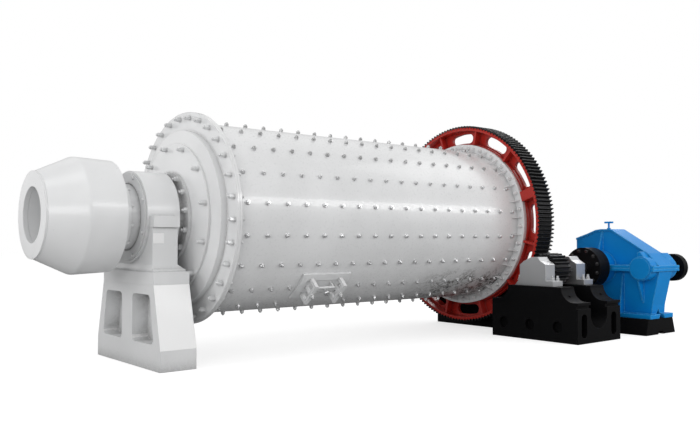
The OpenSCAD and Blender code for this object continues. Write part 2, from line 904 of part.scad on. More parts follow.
module reducer_breather() {
  z = pinion_z + case_rise;
  stem = 100;
  color("royalblue") union() {
    translate([case_mid, pinion_y - 13, z]) cylinder(r = 26, h = 18);
    translate([case_mid, pinion_y - 13, z]) cylinder(r = 14, h = stem);
    translate([case_mid, pinion_y - 80, z + stem]) rotate([-90, 0, 0]) cylinder(r = 14, h = 134);
  }
}

module input_bearing_cover() {
  color("royalblue") bar(input_boss - 15, boss_near - cover_plate, boss_near, input_y, pinion_z);
}

feed_pedestal();
feed_sole_plate();
feed_bearing_base();
feed_bearing_cap();
feed_outer_cover();
feed_inner_cover();
discharge_pedestal();
discharge_sole_plate();
discharge_bearing_base();
discharge_bearing_cap();
discharge_outer_cover();
discharge_inner_cover();
pinion_base();
near_pinion_bearing();
far_pinion_bearing();
reducer_plinth();
reducer_lower_case();
reducer_upper_case();
reducer_breather();
input_bearing_cover();
shell();
feed_shell_flange();
discharge_shell_flange();
feed_head();
discharge_head();
feed_trunnion();
discharge_trunnion();
feeder_drum();
feeder_mouth();
feeder_neck();
girth_gear_web();
girth_gear_teeth();
manhole_frame();
manhole_door();
near_manhole_clamp();
far_manhole_clamp();
pinion();
pinion_shaft();
pinion_coupling();
reducer_coupling();
output_shaft();
input_shaft();
input_coupling();
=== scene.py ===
import json
import math
from collections import namedtuple

import bmesh
import bpy
from mathutils import Matrix, Vector


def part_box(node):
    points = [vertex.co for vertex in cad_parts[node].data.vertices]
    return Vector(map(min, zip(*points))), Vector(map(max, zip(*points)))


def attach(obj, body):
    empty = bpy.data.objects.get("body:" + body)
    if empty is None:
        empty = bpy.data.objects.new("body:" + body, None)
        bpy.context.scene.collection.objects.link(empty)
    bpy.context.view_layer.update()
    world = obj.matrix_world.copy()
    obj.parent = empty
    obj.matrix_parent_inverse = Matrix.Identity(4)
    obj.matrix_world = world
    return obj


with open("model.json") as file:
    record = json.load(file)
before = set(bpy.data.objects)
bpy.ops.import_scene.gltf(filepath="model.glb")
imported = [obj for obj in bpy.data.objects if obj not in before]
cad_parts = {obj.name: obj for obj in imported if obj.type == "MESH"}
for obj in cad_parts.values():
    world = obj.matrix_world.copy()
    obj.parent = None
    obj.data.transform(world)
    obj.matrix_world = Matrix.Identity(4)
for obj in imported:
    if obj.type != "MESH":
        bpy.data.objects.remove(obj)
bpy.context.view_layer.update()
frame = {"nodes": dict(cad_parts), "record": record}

# Places that several sections share, in metres.
# The mill axis runs along X at AXIS_Z. The bearings stand at X 0 and DISCHARGE_X.
AXIS_Z = 1.55
DISCHARGE_X = 5.544
SHELL_RADIUS = 1.07
GIRTH_ROOT_RADIUS = 1.4175
PINION_Y = -1.5078
PINION_Z = 0.91


def round_axis(turn, radius, x, y=0.0, z=AXIS_Z):
    """Point about an axis along X. A turn is in degrees from the top towards the drive side."""
    a = math.radians(turn)
    return Vector((x, y - radius * math.sin(a), z + radius * math.cos(a)))


def outward(turn):
    """Unit vector away from the axis at a turn."""
    a = math.radians(turn)
    return Vector((0.0, -math.sin(a), math.cos(a)))


def aim(place, along):
    """Matrix that puts a fastener's foot at place with its +Z along a direction."""
    return Matrix.Translation(place) @ Vector(along).to_track_quat("Z", "Y").to_matrix().to_4x4()


# Mesh helpers

WASHER_SIDES = 20
NUT_SIDES = 6
STUD_SIDES = 12
SMOOTH_BELOW_DEGREES = 35.0

# Across is over the flats, and each height is above the piece below. A bolt head has no stud.
Nut = namedtuple("Nut", "across height stud_radius stud washer_radius washer")


def lathe(bm, matrix, profile, sides, twist=0.0):
    """Closed solid of rings given as radius and height, foot first, turned by a twist in radians."""
    rings = []
    for radius, height in profile:
        ring = []
        for i in range(sides):
            a = twist + 2.0 * math.pi * i / sides
            corner = Vector((radius * math.cos(a), radius * math.sin(a), height))
            ring.append(bm.verts.new(matrix @ corner))
        rings.append(ring)
    for low, high in zip(rings, rings[1:]):
        for i in range(sides):
            j = (i + 1) % sides
            bm.faces.new((low[i], low[j], high[j], high[i]))
    bm.faces.new(list(reversed(rings[0])))
    bm.faces.new(rings[-1])


def cut_cylinder(bm, matrix, radius, foot, top, cut, sides, twist=0.0):
    """Cylinder or prism from foot to top with its upper edge cut back."""
    lathe(bm, matrix, [(radius, foot), (radius, top - cut), (radius - cut, top)], sides, twist)


def fastener(bm, matrix, nut, twist=0.0):
    """Washer, hexagon nut and stud end standing on a face."""
    cut = nut.across * 0.08
    top = nut.washer + nut.height
    corner_radius = nut.across / math.sqrt(3.0)
    cut_cylinder(bm, matrix, nut.washer_radius, 0.0, nut.washer, nut.washer * 0.25, WASHER_SIDES)
    cut_cylinder(bm, matrix, corner_radius, nut.washer, top, cut, NUT_SIDES, twist)
    if nut.stud > 0.0:
        cut_cylinder(bm, matrix, nut.stud_radius, top - cut, top + nut.stud, cut, STUD_SIDES)


def bolt_ring(bm, count, first_turn, radius, x, along, nut, y=0.0, z=AXIS_Z):
    """Evenly spaced fasteners on a face across an axis along X, no two twisted alike."""
    for k in range(count):
        place = round_axis(first_turn + 360.0 / count * k, radius, x, y, z)
        fastener(bm, aim(place, (along, 0, 0)), nut, twist=k)


def block(bm, low, high, cut):
    """Box with cut edges, made as one welded convex solid."""
    ends = [(low[i], high[i]) for i in range(3)]
    corners = []
    for i in range(2):
        for j in range(2):
            for k in range(2):
                x, y, z = ends[0][i], ends[1][j], ends[2][k]
                dx, dy, dz = (1 - 2 * i) * cut, (1 - 2 * j) * cut, (1 - 2 * k) * cut
                corners += [(x, y + dy, z + dz), (x + dx, y, z + dz), (x + dx, y + dy, z)]
    verts = [bm.verts.new(c) for c in corners]
    made = bmesh.ops.convex_hull(bm, input=verts)
    flat = [f for f in made["geom"] if isinstance(f, bmesh.types.BMFace)]
    edges = list({e for f in flat for e in f.edges})
    bmesh.ops.dissolve_limit(bm, angle_limit=math.radians(1.0), verts=verts, edges=edges)


def piece(name, bm, body, material):
    """One object from a mesh in the part's frame, riding on a body."""
    bmesh.ops.recalc_face_normals(bm, faces=bm.faces)
    mesh = bpy.data.meshes.new(name)
    bm.to_mesh(mesh)
    bm.free()
    for face in mesh.polygons:
        face.use_smooth = True
    mesh.set_sharp_from_angle(angle=math.radians(SMOOTH_BELOW_DEGREES))
    obj = bpy.data.objects.new(name, mesh)
    bpy.context.scene.collection.objects.link(obj)
    obj.data.materials.append(material)
    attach(obj, body)


# Shader helpers


def new_material(name):
    mat = bpy.data.materials.new(name)
    mat.use_nodes = True
    mat.node_tree.nodes.clear()
    return mat, mat.node_tree


def add(tree, kind, inputs=None, **props):
    """New shader node. Inputs take a socket to link or a value to set."""
    n = tree.nodes.new("ShaderNode" + kind)
    for key, value in props.items():
        setattr(n, key, value)
    for key, value in (inputs or {}).items():
        if isinstance(value, bpy.types.NodeSocket):
            tree.links.new(value, n.inputs[key])
        else:
            n.inputs[key].default_value = value
    return n


def place_of(tree):
    """Place in the part's frame, which stays with the piece when it turns."""
    return add(tree, "TexCoord").outputs["Object"]


def facing_of(tree):
    """Direction that the surface faces."""
    return add(tree, "NewGeometry").outputs["Normal"]


def along_axis(tree, vector, axis):
    """One coordinate of a place or direction."""
    return add(tree, "SeparateXYZ", {"Vector": vector}).outputs[axis]


def noise(tree, at, scale, detail=3.0, roughness=0.55):
    inputs = {"Vector": at, "Scale": scale, "Detail": detail, "Roughness": roughness}
    return add(tree, "TexNoise", inputs).outputs["Fac"]


def remap(tree, value, low, high, to_low=0.0, to_high=1.0):
    """Smooth step of a value between low and high onto the range to_low to to_high."""
    inputs = {"Value": value, "From Min": low, "From Max": high, "To Min": to_low, "To Max": to_high}
    return add(tree, "MapRange", inputs, interpolation_type="SMOOTHSTEP").outputs["Result"]


def math_of(tree, operation, a, b=0.0, c=0.0):
    return add(tree, "Math", {0: a, 1: b, 2: c}, operation=operation).outputs["Value"]


def product(tree, a, b):
    return math_of(tree, "MULTIPLY", a, b)


def larger(tree, a, b):
    return math_of(tree, "MAXIMUM", a, b)


def dot_product(tree, a, b):
    return add(tree, "VectorMath", {0: a, 1: b}, operation="DOT_PRODUCT").outputs["Value"]


def blend_colour(tree, factor, a, b):
    """Colour a where the factor is 0 and b where it is 1."""
    n = add(tree, "Mix", data_type="RGBA")
    for socket, value in (("Factor_Float", factor), ("A_Color", a), ("B_Color", b)):
        target = next(s for s in n.inputs if s.identifier == socket)
        if isinstance(value, bpy.types.NodeSocket):
            tree.links.new(value, target)
        else:
            target.default_value = (*value, 1.0)
    return next(s for s in n.outputs if s.identifier == "Result_Color")


def scaled(colour, by):
    return tuple(min(1.0, c * by) for c in colour)


def grey(level):
    return (level, level, level)


def edge_mask(tree, radius):
    """1 on outer and inner edges, 0 on flat ground, and the rounded normal itself."""
    rounded = add(tree, "Bevel", {"Radius": radius}, samples=4).outputs["Normal"]
    return remap(tree, dot_product(tree, rounded, facing_of(tree)), 0.995, 0.86), rounded


def crevice_shade(tree, distance):
    """Painted shade: 1 deep in corners, 0 in the open."""
    open_sky = add(tree, "AmbientOcclusion", {"Distance": distance}, samples=6).outputs["AO"]
    return remap(tree, open_sky, 0.85, 0.30)


def radius_from_axis(tree, at):
    """Distance from the mill axis."""
    y = along_axis(tree, at, "Y")
    z = math_of(tree, "SUBTRACT", along_axis(tree, at, "Z"), AXIS_Z)
    return math_of(tree, "SQRT", math_of(tree, "ADD", product(tree, y, y), product(tree, z, z)))


def relief(tree, height, normal, strength, depth):
    """Normal with a fine relief on it."""
    inputs = {"Strength": strength, "Distance": depth, "Height": height, "Normal": normal}
    return add(tree, "Bump", inputs).outputs["Normal"]


def surface(tree, colour, roughness, normal, metallic=0.0, coat=0.0, specular=0.5):
    inputs = {"Base Color": colour, "Roughness": roughness, "Normal": normal, "Metallic": metallic,
              "Coat Weight": coat, "Coat Roughness": 0.06, "Specular IOR Level": specular}
    shader = add(tree, "BsdfPrincipled", inputs)
    add(tree, "OutputMaterial", {"Surface": shader.outputs["BSDF"]})


# Materials. Noise scales are about how many grains a metre holds, and other lengths are metres.

COVERAGE_SCALE = 1.1
SPECK_SCALE = 34.0
PEEL_SCALE = 260.0
PEEL_STRENGTH = 0.10
PEEL_DEPTH = 0.0008
# Reaches of the painted shade in corners, mixed with dust.
CORNER_SHADE_REACH = 0.07
PEDESTAL_SHADE_REACH = 0.22
PEDESTAL_ROUND_EDGE = 0.008
RING_SCALE = 420.0
RING_DEPTH = 0.0006
TOOTH_SPECK_SCALE = 55.0
TOOTH_STREAK_SCALE = 6.0
TOOTH_RELIEF_DEPTH = 0.0008
# Colour of grime and of the painted shade in corners.
GRIME_AND_SHADE = (0.05, 0.047, 0.043)


def coverage_of(tree, at):
    """Slow change in the thickness of a coat of paint, from 0 to 1."""
    return remap(tree, noise(tree, at, COVERAGE_SCALE), 0.3, 0.7)


def specks_of(tree, at, scale=SPECK_SCALE):
    """Fine uneven grain."""
    return noise(tree, at, scale, 5.0, 0.65)


def orange_peel(tree, at, normal):
    """Normal of a sprayed coat."""
    return relief(tree, noise(tree, at, PEEL_SCALE, 2.0), normal, PEEL_STRENGTH, PEEL_DEPTH)


def paint(name, colour, roughness, grime_and_shade, edge_colour, edge_wear_and_highlight, round_edge, coat=0.0, metallic=0.0,
          specular=0.5, grime_and_shade_colour=GRIME_AND_SHADE, dirt_and_shade_place=None):
    """Sprayed enamel: uneven coverage, fine orange peel, corners darkened by painted shade and dust, and
    lighter edges that are worn and painted highlight.
    """
    mat, tree = new_material(name)
    at = place_of(tree)
    specks = specks_of(tree, at)
    tone = blend_colour(tree, coverage_of(tree, at), scaled(colour, 0.95), scaled(colour, 1.04))
    # Corners darkened by painted shade, mixed with dust.
    corner = crevice_shade(tree, CORNER_SHADE_REACH)
    dust_and_shade = product(tree, corner, remap(tree, specks, 0.25, 0.75, 0.45 * grime_and_shade, grime_and_shade))
    if dirt_and_shade_place is not None:
        dust_and_shade = larger(tree, dust_and_shade, dirt_and_shade_place(tree, at, specks))
    tone = blend_colour(tree, dust_and_shade, tone, grime_and_shade_colour)
    # Lighter edges, worn and painted highlight.
    edges, rounded = edge_mask(tree, round_edge)
    worn_and_lit = product(tree, edges, remap(tree, specks, 0.40, 0.62, 0.25 * edge_wear_and_highlight, edge_wear_and_highlight))
    tone = blend_colour(tree, worn_and_lit, tone, edge_colour)
    rough = remap(tree, specks, 0.2, 0.8, roughness * 0.92, roughness * 1.12)
    rough = math_of(tree, "ADD", rough, product(tree, dust_and_shade, 0.25))
    surface(tree, tone, rough, orange_peel(tree, at, rounded), metallic, coat, specular)
    return mat


def turned_steel(name, colour, roughness):
    """Machined shaft: fine rings along X and a thin film of oil."""
    mat, tree = new_material(name)
    at = place_of(tree)
    ring_inputs = {"W": along_axis(tree, at, "X"), "Scale": RING_SCALE, "Detail": 3.0}
    rings = add(tree, "TexNoise", ring_inputs, noise_dimensions="1D").outputs["Fac"]
    film = noise(tree, at, 9.0, 4.0)
    tone = blend_colour(tree, remap(tree, film, 0.3, 0.75), scaled(colour, 1.05), scaled(colour, 0.72))
    edges, rounded = edge_mask(tree, 0.004)
    # Paler edges, worn and painted highlight.
    tone = blend_colour(tree, product(tree, edges, 0.5), tone, (0.75, 0.76, 0.77))
    rough = remap(tree, rings, 0.25, 0.75, roughness * 0.8, roughness * 1.3)
    surface(tree, tone, rough, relief(tree, rings, rounded, 0.12, RING_DEPTH), metallic=1.0)
    return mat


def cut_teeth(name, colour, tip_colour, end_colour=None):
    """Dark cut gear steel with paler tips, worn and painted highlight. An end colour is oversprayed round the
    roots of the girth gear's teeth, on their end faces."""
    mat, tree = new_material(name)
    at = place_of(tree)
    specks = specks_of(tree, at, TOOTH_SPECK_SCALE)
    streaks = noise(tree, at, TOOTH_STREAK_SCALE, 4.0)
    tone = blend_colour(tree, remap(tree, streaks, 0.3, 0.7), scaled(colour, 0.7), scaled(colour, 1.4))
    # Paler tips, worn and painted highlight.
    edges, rounded = edge_mask(tree, 0.003)
    worn_and_lit = product(tree, edges, remap(tree, specks, 0.40, 0.62, 0.05, 0.5))
    tone = blend_colour(tree, worn_and_lit, tone, tip_colour)
    if end_colour is not None:
        facing_x = along_axis(tree, facing_of(tree), "X")
        end_face = remap(tree, math_of(tree, "ABSOLUTE", facing_x), 0.85, 0.95)
        ragged = math_of(tree, "MULTIPLY_ADD", streaks, 0.03, radius_from_axis(tree, at))
        near_root = remap(tree, ragged, GIRTH_ROOT_RADIUS + 0.036, GIRTH_ROOT_RADIUS + 0.022)
        tone = blend_colour(tree, product(tree, end_face, near_root), tone, end_colour)
    rough = remap(tree, specks, 0.2, 0.8, 0.34, 0.55)
    surface(tree, tone, rough, relief(tree, specks, rounded, 0.15, TOOTH_RELIEF_DEPTH), specular=0.22)
    return mat


def pedestal_look(name, colour, lit_colour):
    """White pedestal whose sloped sides are painted brighter than its upright faces as painted light, with
    painted shade in corners and painted highlight on edges.
    """
    mat, tree = new_material(name)
    at = place_of(tree)
    specks = specks_of(tree, at)
    tone = blend_colour(tree, coverage_of(tree, at), scaled(colour, 0.96), scaled(colour, 1.03))
    facing = facing_of(tree)
    # Faces that lean up are painted brighter: painted light.
    leaning = remap(tree, along_axis(tree, facing, "Z"), 0.05, 0.12)
    sideways = remap(tree, math_of(tree, "ABSOLUTE", along_axis(tree, facing, "Y")), 0.80, 0.90)
    tone = blend_colour(tree, product(tree, leaning, sideways), tone, lit_colour)
    # Corners and recesses darkened by painted shade, mixed with dust.
    corner = crevice_shade(tree, PEDESTAL_SHADE_REACH)
    dust_and_shade = product(tree, corner, remap(tree, specks, 0.25, 0.75, 0.40, 0.70))
    tone = blend_colour(tree, dust_and_shade, tone, (0.10, 0.098, 0.095))
    # Lighter edges: painted highlight.
    edges, rounded = edge_mask(tree, PEDESTAL_ROUND_EDGE)
    tone = blend_colour(tree, product(tree, edges, 0.4), tone, (0.90, 0.905, 0.91))
    rough = remap(tree, specks, 0.2, 0.8, 0.36, 0.50)
    surface(tree, tone, rough, orange_peel(tree, at, rounded), coat=0.1)
    return mat


def shell_dirt(tree, at, specks):
    """Splashed grease on the underside of the drum beside the girth gear."""
    near_gear = remap(tree, along_axis(tree, at, "X"), 3.1, 4.3)
    below = remap(tree, along_axis(tree, at, "Z"), AXIS_Z - 0.56, AXIS_Z - 0.82)
    patches = remap(tree, noise(tree, at, 4.5, 6.0, 0.72), 0.40, 0.54)
    blots = remap(tree, noise(tree, at, 22.0, 5.0, 0.7), 0.48, 0.55)
    drops = larger(tree, blots, remap(tree, specks, 0.50, 0.58))
    spread = product(tree, near_gear, below)
    return product(tree, product(tree, spread, product(tree, patches, drops)), 0.97)


def trunnion_grease_and_shade(tree, at, specks):
    """Dark grease on the flange beside the bearing, with painted shade of the gap between bearing and head,
    at both ends alike.
    """
    half = DISCHARGE_X / 2.0
    offset = math_of(tree, "SUBTRACT", along_axis(tree, at, "X"), half)
    from_middle = math_of(tree, "ABSOLUTE", offset)
    close_to_bearing = remap(tree, from_middle, half - 0.30, half - 0.24)
    short_of_bearing = remap(tree, from_middle, half - 0.12, half - 0.17)
    film = remap(tree, noise(tree, at, 5.0, 4.0, 0.6), 0.35, 0.65, 0.25, 0.50)
    spots = larger(tree, film, remap(tree, specks, 0.56, 0.66, 0.0, 0.75))
    return product(tree, product(tree, close_to_bearing, short_of_bearing), spots)


def top_bolt_shade(tree, at, specks):
    """Painted shade: a dull, darker film on the bolts along the top of the drum."""
    film = remap(tree, specks, 0.3, 0.7, 0.32, 0.56)
    high_up = remap(tree, along_axis(tree, at, "Z"), AXIS_Z + 0.05, AXIS_Z + 0.80)
    return product(tree, high_up, film)


WHITE = (0.80, 0.805, 0.81)
WHITE_EDGE = (0.88, 0.885, 0.89)
# Paler white used as painted light: the discharge flange's brighter tone and the silver paint's edge
# highlight.
LIT_PALE = (0.86, 0.865, 0.87)
RED = (0.475, 0.022, 0.014)
BLACK = (0.004, 0.004, 0.0045)
SILVER = (0.57, 0.575, 0.585)
BLUE = (0.003, 0.260, 0.70)
TOOTH = (0.007, 0.007, 0.008)
STEEL = (0.84, 0.845, 0.85)

# Edge colours below are lighter for worn edges and painted highlight, and grime amounts set corners darkened
# by painted shade with dust.
white_paint = paint("white_paint_look", WHITE, roughness=0.34, coat=0.25, grime_and_shade=0.45,
                    edge_colour=WHITE_EDGE, edge_wear_and_highlight=0.5, round_edge=0.007)
shell_paint = paint("shell_paint_look", WHITE, roughness=0.28, coat=0.35, grime_and_shade=0.28,
                    edge_colour=WHITE_EDGE, edge_wear_and_highlight=0.5, round_edge=0.007, dirt_and_shade_place=shell_dirt)
# Paler, cleaner copy of the white paint: the paler tone is painted light.
lit_flange_paint = paint("flange_paint_look", LIT_PALE, roughness=0.28, coat=0.35, grime_and_shade=0.10,
                     edge_colour=WHITE_EDGE, edge_wear_and_highlight=0.6, round_edge=0.007)
trunnion_paint = paint("trunnion_paint_look", WHITE, roughness=0.32, coat=0.25, grime_and_shade=0.60,
                       edge_colour=WHITE_EDGE, edge_wear_and_highlight=0.4, round_edge=0.007, dirt_and_shade_place=trunnion_grease_and_shade)
head_paint = paint("head_paint_look", WHITE, roughness=0.22, coat=0.50, grime_and_shade=0.55,
                   edge_colour=grey(0.97), edge_wear_and_highlight=1.0, round_edge=0.014)
gloss_paint = paint("gloss_paint_look", WHITE, roughness=0.29, coat=0.20, grime_and_shade=0.45,
                    edge_colour=WHITE_EDGE, edge_wear_and_highlight=0.7, round_edge=0.010)
pedestal_paint = pedestal_look("pedestal_paint_look", scaled(WHITE, 0.96), grey(0.95))
plate_paint = paint("plate_paint_look", grey(0.95), roughness=0.40, coat=0.10, grime_and_shade=0.10,
                    edge_colour=grey(0.97), edge_wear_and_highlight=0.3, round_edge=0.001)
red_paint = paint("red_paint_look", RED, roughness=0.34, coat=0.10, grime_and_shade=0.6,
                  edge_colour=(0.62, 0.13, 0.11), edge_wear_and_highlight=0.55, round_edge=0.008,
                  grime_and_shade_colour=(0.045, 0.006, 0.005), specular=0.35)
black_paint = paint("black_paint_look", BLACK, roughness=0.50, grime_and_shade=0.25,
                    edge_colour=(0.030, 0.030, 0.032), edge_wear_and_highlight=0.5, round_edge=0.006,
                    grime_and_shade_colour=(0.008, 0.0075, 0.007), specular=0.07)
silver_paint = paint("silver_paint_look", SILVER, roughness=0.38, metallic=0.85, grime_and_shade=0.40,
                     edge_colour=LIT_PALE, edge_wear_and_highlight=0.6, round_edge=0.008)
blue_paint = paint("blue_paint_look", BLUE, roughness=0.36, grime_and_shade=0.40,
                   edge_colour=(0.13, 0.58, 0.95), edge_wear_and_highlight=1.0, round_edge=0.020,
                   grime_and_shade_colour=(0.002, 0.06, 0.18), specular=0.14)
bright_steel = turned_steel("bright_steel_look", (0.56, 0.57, 0.58), roughness=0.30)
girth_teeth = cut_teeth("girth_teeth_look", TOOTH, tip_colour=(0.16, 0.16, 0.165), end_colour=RED)
pinion_teeth = cut_teeth("pinion_teeth_look", TOOTH, tip_colour=(0.10, 0.10, 0.105))
bolt_steel = paint("bolt_steel_look", STEEL, roughness=0.27, metallic=0.82, grime_and_shade=0.55,
                   edge_colour=grey(0.94), edge_wear_and_highlight=0.25, round_edge=0.002, dirt_and_shade_place=top_bolt_shade)
bolt_paint = paint("bolt_paint_look", (0.72, 0.725, 0.73), roughness=0.30, coat=0.10, metallic=0.20,
                   grime_and_shade=0.6, edge_colour=WHITE_EDGE, edge_wear_and_highlight=0.5, round_edge=0.002)
dark_bolt = paint("dark_bolt_look", (0.07, 0.07, 0.072), roughness=0.24, metallic=0.80, grime_and_shade=0.4,
                  edge_colour=grey(0.35), edge_wear_and_highlight=0.4, round_edge=0.002)
zinc = paint("zinc_look", (0.62, 0.63, 0.64), roughness=0.32, metallic=0.75, grime_and_shade=0.4,
             edge_colour=grey(0.8), edge_wear_and_highlight=0.5, round_edge=0.002)

looks = {
    "white_paint": white_paint,
    "red_paint": red_paint,
    "black_paint": black_paint,
    "black_steel": girth_teeth,
    "silver_paint": silver_paint,
    "bright_steel": bright_steel,
    "blue_paint": blue_paint,
}
own_looks = {
    "shell": shell_paint,
    "feed_head": head_paint,
    "discharge_head": head_paint,
    "feed_shell_flange": head_paint,
    "discharge_shell_flange": lit_flange_paint,
    "feed_trunnion": trunnion_paint,
    "discharge_trunnion": trunnion_paint,
    "feeder_drum": gloss_paint,
    "feeder_mouth": gloss_paint,
    "feed_bearing_cap": gloss_paint,
    "discharge_bearing_cap": gloss_paint,
    "pinion": pinion_teeth,
    "feed_pedestal": pedestal_paint,
}
for entry in frame["record"]["subparts"]:
    node = entry["node"]
    look = own_looks.get(node, looks[entry["material_slot"]])
    frame["nodes"][node].material_slots[0].material = look

# Liner bolts of the drum, left out where the manhole is

LINER_NUT = Nut(0.042, 0.025, 0.013, 0.012, 0.026, 0.005)
LINER_ROWS = 20
LINER_COLUMNS = 18
LINER_FIRST_TURN = 10.6
LINER_FIRST_X = 0.632
LINER_PITCH = 0.25
LINER_SINK = 0.001
MANHOLE_ROWS = (7, 8)
MANHOLE_COLUMNS = (4, 5, 6)

bm = bmesh.new()
for row in range(LINER_ROWS):
    turn = LINER_FIRST_TURN + 360.0 / LINER_ROWS * row
    for column in range(LINER_COLUMNS):
        if row in MANHOLE_ROWS and column in MANHOLE_COLUMNS:
            continue
        place = round_axis(turn, SHELL_RADIUS - LINER_SINK, LINER_FIRST_X + LINER_PITCH * column)
        fastener(bm, aim(place, outward(turn)), LINER_NUT, twist=0.3 * column + row)
piece("shell_bolts", bm, "mill", bolt_steel)

# Bolts of the drum's end flanges

FLANGE_BOLTS = 30
FLANGE_BOLT_RADIUS = 1.125
FEED_FIRST_TURN = 8.0
FEED_OUTER_NUT = Nut(0.048, 0.062, 0.016, 0.016, 0.030, 0.006)
FEED_OUTER_RADIUS = 1.115
FEED_OUTER_X = 0.450
FEED_INNER_NUT = Nut(0.046, 0.030, 0.015, 0.018, 0.030, 0.006)
FEED_INNER_X = 0.504
DISCHARGE_FIRST_TURN = 8.8
DISCHARGE_NUT = Nut(0.050, 0.034, 0.017, 0.022, 0.032, 0.006)
DISCHARGE_FLANGE_X = 5.010

bm = bmesh.new()
bolt_ring(bm, FLANGE_BOLTS, FEED_FIRST_TURN, FEED_OUTER_RADIUS, FEED_OUTER_X, -1, FEED_OUTER_NUT)
bolt_ring(bm, FLANGE_BOLTS, FEED_FIRST_TURN, FLANGE_BOLT_RADIUS, FEED_INNER_X, 1, FEED_INNER_NUT)
piece("feed_flange_bolts", bm, "mill", bolt_paint)

bm = bmesh.new()
bolt_ring(bm, FLANGE_BOLTS, DISCHARGE_FIRST_TURN, FLANGE_BOLT_RADIUS, DISCHARGE_FLANGE_X, -1, DISCHARGE_NUT)
piece("discharge_flange_bolts", bm, "mill", lit_flange_paint)

# Gussets between the drum and its discharge flange, outlined as X and radius

GUSSET_FOOT_RADIUS = SHELL_RADIUS - 0.001
GUSSET_TOP_RADIUS = 1.150
GUSSET_TIP_RADIUS = 1.082
GUSSET_TIP_X = DISCHARGE_FLANGE_X - 0.130
GUSSET_SHOULDER_X = DISCHARGE_FLANGE_X - 0.015
GUSSET_HALF = 0.005
GUSSET_FIRST_TURN = 2.8
GUSSET_OUTLINE = [
    (DISCHARGE_FLANGE_X, GUSSET_FOOT_RADIUS),
    (DISCHARGE_FLANGE_X, GUSSET_TOP_RADIUS),
    (GUSSET_SHOULDER_X, GUSSET_TOP_RADIUS),
    (GUSSET_TIP_X, GUSSET_TIP_RADIUS),
    (GUSSET_TIP_X, GUSSET_FOOT_RADIUS),
]

bm = bmesh.new()
for k in range(FLANGE_BOLTS):
    turn = GUSSET_FIRST_TURN + 360.0 / FLANGE_BOLTS * k
    across = outward(turn + 90.0)
    sides = []
    for side in (-GUSSET_HALF, GUSSET_HALF):
        outline = [round_axis(turn, radius, x) + across * side for x, radius in GUSSET_OUTLINE]
        sides.append([bm.verts.new(point) for point in outline])
    bm.faces.new(sides[0])
    bm.faces.new(list(reversed(sides[1])))
    for i in range(len(GUSSET_OUTLINE)):
        j = (i + 1) % len(GUSSET_OUTLINE)
        bm.faces.new((sides[0][j], sides[0][i], sides[1][i], sides[1][j]))
piece("flange_gussets", bm, "mill", lit_flange_paint)

# Bolts of the heads and trunnions, the same at both ends. A face is its X and the way its bolts point.

HEAD_NUT = Nut(0.044, 0.060, 0.016, 0.020, 0.030, 0.006)
HEAD_BOLTS = 12
HEAD_FIRST_TURN = 20.0
HEAD_BOLT_RADIUS = 0.775
HEAD_FACES = ((0.313, -1), (DISCHARGE_X - 0.343, 1))
TRUNNION_NUT = Nut(0.054, 0.034, 0.017, 0.024, 0.034, 0.006)
TRUNNION_BOLTS = 14
TRUNNION_FIRST_TURN = 56.0
TRUNNION_BOLT_RADIUS = 0.468
TRUNNION_FACES = ((0.253, -1), (DISCHARGE_X - 0.283, 1))

bm = bmesh.new()
for x, along in HEAD_FACES:
    bolt_ring(bm, HEAD_BOLTS, HEAD_FIRST_TURN, HEAD_BOLT_RADIUS, x, along, HEAD_NUT)
piece("head_bolts", bm, "mill", bolt_paint)

bm = bmesh.new()
for x, along in TRUNNION_FACES:
    bolt_ring(bm, TRUNNION_BOLTS, TRUNNION_FIRST_TURN, TRUNNION_BOLT_RADIUS, x, along, TRUNNION_NUT)
piece("trunnion_bolts", bm, "mill", bolt_paint)

# Bolts of the feeder's flange, nuts on the mill's side and heads on the other

FEEDER_NUT = Nut(0.036, 0.024, 0.012, 0.016, 0.026, 0.005)
FEEDER_HEAD = Nut(0.036, 0.018, 0.0, 0.0, 0.026, 0.004)
FEEDER_BOLTS = 12
FEEDER_FIRST_TURN = 45.0
FEEDER_BOLT_RADIUS = 0.386
FEEDER_NUT_X = -0.336
FEEDER_HEAD_X = -0.394

bm = bmesh.new()
bolt_ring(bm, FEEDER_BOLTS, FEEDER_FIRST_TURN, FEEDER_BOLT_RADIUS, FEEDER_NUT_X, 1, FEEDER_NUT)
bolt_ring(bm, FEEDER_BOLTS, FEEDER_FIRST_TURN, FEEDER_BOLT_RADIUS, FEEDER_HEAD_X, -1, FEEDER_HEAD)
piece("feeder_flange_bolts", bm, "mill", white_paint)

# Inlet sleeve that carries the feeder's mouth on inwards

SLEEVE_SIDES = 96
SLEEVE_X = (-1.138, -0.835)
SLEEVE_INNER = 0.2805
SLEEVE_OUTER = 0.2880
SLEEVE_OUTLINE = [
    (SLEEVE_X[0], SLEEVE_INNER),
    (SLEEVE_X[1], SLEEVE_INNER),
    (SLEEVE_X[1], SLEEVE_OUTER),
    (SLEEVE_X[0], SLEEVE_OUTER),
]

bm = bmesh.new()
rings = []
for x, radius in SLEEVE_OUTLINE:
    circle = [round_axis(360.0 * k / SLEEVE_SIDES, radius, x) for k in range(SLEEVE_SIDES)]
    rings.append([bm.verts.new(point) for point in circle])
for ring, following in zip(rings, rings[1:] + rings[:1]):
    for k in range(SLEEVE_SIDES):
        j = (k + 1) % SLEEVE_SIDES
        bm.faces.new((ring[k], ring[j], following[j], following[k]))
piece("feeder_inlet_sleeve", bm, "mill", white_paint)

# Manhole: nuts over the clamp studs and a turning knob on the door

CLAMP_NUT = Nut(0.042, 0.026, 0.013, 0.016, 0.026, 0.005)
CLAMP_TOP_RADIUS = 1.219
MANHOLE_TURN = 136.0
KNOB_TURN = MANHOLE_TURN + 1.5
KNOB_X = 1.869
KNOB_FOOT_RADIUS = 1.080
KNOB_SIDES = 20
KNOB_PROFILE = [(0.016, 0.0), (0.016, 0.070), (0.036, 0.078), (0.040, 0.090), (0.036, 0.102), (0.020, 0.106)]

